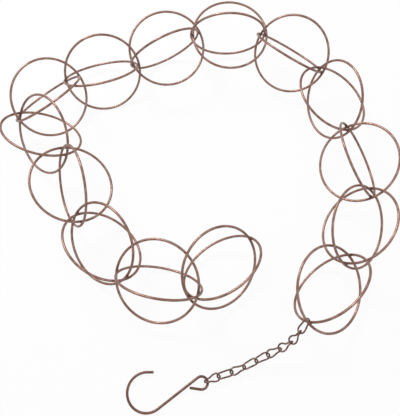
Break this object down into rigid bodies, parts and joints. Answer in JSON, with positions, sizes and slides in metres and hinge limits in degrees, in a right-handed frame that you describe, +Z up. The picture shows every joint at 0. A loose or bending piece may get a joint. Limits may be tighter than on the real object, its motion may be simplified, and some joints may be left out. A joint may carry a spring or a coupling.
{
  "type": "rain chain",
  "caption": "Rain chain of interlinked wire cages, each of two crossed hoops, with a twisted-link chain and a hook; leads gutter water down.",
  "frame": {"origin": "on the floor under the middle of the chain as it lies curled", "axes": "+Z up from the floor, +X to the right and +Y away from the viewer of the picture"},
  "size_m": [0.574, 0.623, 0.125],
  "materials": {
    "aged_copper": "satin"
  },
  "bodies": {
    "cage_14": {"cage_14_hoop_a": "aged_copper", "cage_14_hoop_b": "aged_copper"},
    "cage_13": {"cage_13_hoop_a": "aged_copper", "cage_13_hoop_b": "aged_copper"},
    "cage_12": {"cage_12_hoop_a": "aged_copper", "cage_12_hoop_b": "aged_copper"},
    "cage_11": {"cage_11_hoop_a": "aged_copper", "cage_11_hoop_b": "aged_copper"},
    "cage_10": {"cage_10_hoop_a": "aged_copper", "cage_10_hoop_b": "aged_copper"},
    "cage_09": {"cage_09_hoop_a": "aged_copper", "cage_09_hoop_b": "aged_copper"},
    "cage_08": {"cage_08_hoop_a": "aged_copper", "cage_08_hoop_b": "aged_copper"},
    "cage_07": {"cage_07_hoop_a": "aged_copper", "cage_07_hoop_b": "aged_copper"},
    "cage_06": {"cage_06_hoop_a": "aged_copper", "cage_06_hoop_b": "aged_copper"},
    "cage_05": {"cage_05_hoop_a": "aged_copper", "cage_05_hoop_b": "aged_copper"},
    "cage_04": {"cage_04_hoop_a": "aged_copper", "cage_04_hoop_b": "aged_copper"},
    "cage_03": {"cage_03_hoop_a": "aged_copper", "cage_03_hoop_b": "aged_copper"},
    "cage_02": {"cage_02_hoop_a": "aged_copper", "cage_02_hoop_b": "aged_copper"},
    "cage_01": {"cage_01_hoop_a": "aged_copper", "cage_01_hoop_b": "aged_copper"},
    "link_1": {"link_1": "aged_copper"},
    "link_2": {"link_2": "aged_copper"},
    "link_3": {"link_3": "aged_copper"},
    "link_4": {"link_4": "aged_copper"},
    "link_5": {"link_5": "aged_copper"},
    "link_6": {"link_6": "aged_copper"},
    "link_7": {"link_7": "aged_copper"},
    "link_8": {"link_8": "aged_copper"},
    "link_9": {"link_9": "aged_copper"},
    "hook": {"hook": "aged_copper"}
  },
  "joints": [
    {"name": "cage_13_swing", "type": "hinge", "parent": "cage_14", "child": "cage_13", "pos_m": [0.2083, -0.11342, 0.04246], "axis": [0, 0, -1], "range_deg": [-5, 5]},
    {"name": "cage_12_swing", "type": "hinge", "parent": "cage_13", "child": "cage_12", "pos_m": [0.24797, -0.01763, 0.05279], "axis": [0, 0, -1], "range_deg": [-2, 12]},
    {"name": "cage_11_swing", "type": "hinge", "parent": "cage_12", "child": "cage_11", "pos_m": [0.22427, 0.08695, 0.05484], "axis": [0, 0, -1], "range_deg": [-2, 18]},
    {"name": "cage_10_swing", "type": "hinge", "parent": "cage_11", "child": "cage_10", "pos_m": [0.1931, 0.19191, 0.05409], "axis": [0, 0, -1], "range_deg": [-2, 7]},
    {"name": "cage_09_swing", "type": "hinge", "parent": "cage_10", "child": "cage_09", "pos_m": [0.10449, 0.25444, 0.0633], "axis": [0, 0, -1], "range_deg": [-2, 36]},
    {"name": "cage_08_swing", "type": "hinge", "parent": "cage_09", "child": "cage_08", "pos_m": [-0.00223, 0.25224, 0.06741], "axis": [0, 0, -1], "range_deg": [-2, 18]},
    {"name": "cage_07_swing", "type": "hinge", "parent": "cage_08", "child": "cage_07", "pos_m": [-0.0973, 0.20629, 0.04985], "axis": [0, 0, 1], "range_deg": [-1, 9]},
    {"name": "cage_06_swing", "type": "hinge", "parent": "cage_07", "child": "cage_06", "pos_m": [-0.19556, 0.18121, 0.04716], "axis": [0, 0, -1], "range_deg": [-2, 26]},
    {"name": "cage_05_swing", "type": "hinge", "parent": "cage_06", "child": "cage_05", "pos_m": [-0.2698, 0.11234, 0.04592], "axis": [0, 0, -1], "range_deg": [-2, 38]},
    {"name": "cage_04_swing", "type": "hinge", "parent": "cage_05", "child": "cage_04", "pos_m": [-0.19146, 0.0426, 0.06369], "axis": [0, 0, 1], "range_deg": [-24, 20]},
    {"name": "cage_03_swing", "type": "hinge", "parent": "cage_04", "child": "cage_03", "pos_m": [-0.16246, -0.05573, 0.05339], "axis": [0, 0, -1], "range_deg": [-4, 40]},
    {"name": "cage_02_swing", "type": "hinge", "parent": "cage_03", "child": "cage_02", "pos_m": [-0.09978, -0.1346, 0.04614], "axis": [0, 0, -1], "range_deg": [-6, 40]},
    {"name": "cage_01_swing", "type": "hinge", "parent": "cage_02", "child": "cage_01", "pos_m": [-0.00227, -0.16549, 0.05467], "axis": [0, 0, -1], "range_deg": [-7, 34]},
    {"name": "link_1_swing", "type": "hinge", "parent": "cage_14", "child": "link_1", "pos_m": [0.14404, -0.19955, 0.05082], "axis": [0, 0, 1], "range_deg": [-8, 36]},
    {"name": "link_2_swing", "type": "hinge", "parent": "link_1", "child": "link_2", "pos_m": [0.13537, -0.21211, 0.04599], "axis": [0, 0, 1], "range_deg": [-8, 30]},
    {"name": "link_3_swing", "type": "hinge", "parent": "link_2", "child": "link_3", "pos_m": [0.1243, -0.22416, 0.03795], "axis": [0, 0, -1], "range_deg": [-34, 6]},
    {"name": "link_4_swing", "type": "hinge", "parent": "link_3", "child": "link_4", "pos_m": [0.11019, -0.23147, 0.02905], "axis": [0, 0, 1], "range_deg": [-6, 32]},
    {"name": "link_5_swing", "type": "hinge", "parent": "link_4", "child": "link_5", "pos_m": [0.09495, -0.23786, 0.02141], "axis": [0, 0, -1], "range_deg": [-20, 5]},
    {"name": "link_6_swing", "type": "hinge", "parent": "link_5", "child": "link_6", "pos_m": [0.0798, -0.24425, 0.01359], "axis": [0, 0, 1], "range_deg": [-20, 30]},
    {"name": "link_7_swing", "type": "hinge", "parent": "link_6", "child": "link_7", "pos_m": [0.06403, -0.25207, 0.00893], "axis": [0, 0, -1], "range_deg": [-20, 24]},
    {"name": "link_8_swing", "type": "hinge", "parent": "link_7", "child": "link_8", "pos_m": [0.04724, -0.2585, 0.00604], "axis": [0, 0, 1], "range_deg": [-12, 20]},
    {"name": "link_9_swing", "type": "hinge", "parent": "link_8", "child": "link_9", "pos_m": [0.0298, -0.26373, 0.0062], "axis": [0, 0, -1], "range_deg": [-10, 14]},
    {"name": "hook_swing", "type": "hinge", "parent": "link_9", "child": "hook", "pos_m": [0.013, -0.26989, 0.00554], "axis": [0, 0, 1], "range_deg": [-12, 14]}
  ]
}
